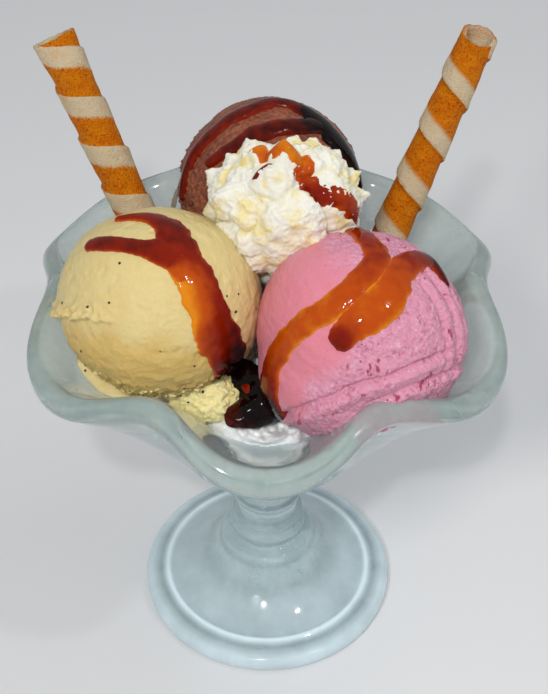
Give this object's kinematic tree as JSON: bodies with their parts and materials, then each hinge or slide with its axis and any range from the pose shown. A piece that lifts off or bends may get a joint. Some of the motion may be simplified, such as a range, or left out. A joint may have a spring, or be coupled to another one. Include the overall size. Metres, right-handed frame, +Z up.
{
  "type": "ice cream sundae",
  "caption": "Ice cream sundae of scoops, whipped cream and rolled wafers in a footed glass bowl with a wavy lobed lip.",
  "frame": {"origin": "centre of the flat underside of the glass's foot", "axes": "+Z up along the stem; -Y toward the gap between the vanilla and strawberry scoops, with the vanilla scoop on the -X side"},
  "size_m": [0.1166, 0.1258, 0.1624],
  "materials": {
    "glass": "polished pressed glass, pale green-grey",
    "base_cream": "soft white cream",
    "vanilla": "soft pale yellow ice cream with specks",
    "strawberry": "soft pink ice cream with crimson streaks",
    "chocolate": "pored brown ice cream",
    "whipped_cream": "soft off-white whipped cream",
    "wafer": "dry baked wafer with brown and cream spiral bands"
  },
  "bodies": {
    "root": {"glass": "glass", "base_cream": "base_cream", "vanilla_scoop": "vanilla", "vanilla_lump": "vanilla", "strawberry_scoop": "strawberry", "chocolate_scoop": "chocolate", "whipped_cream": "whipped_cream", "wafer_left": "wafer", "wafer_right": "wafer"}
  },
  "joints": []
}
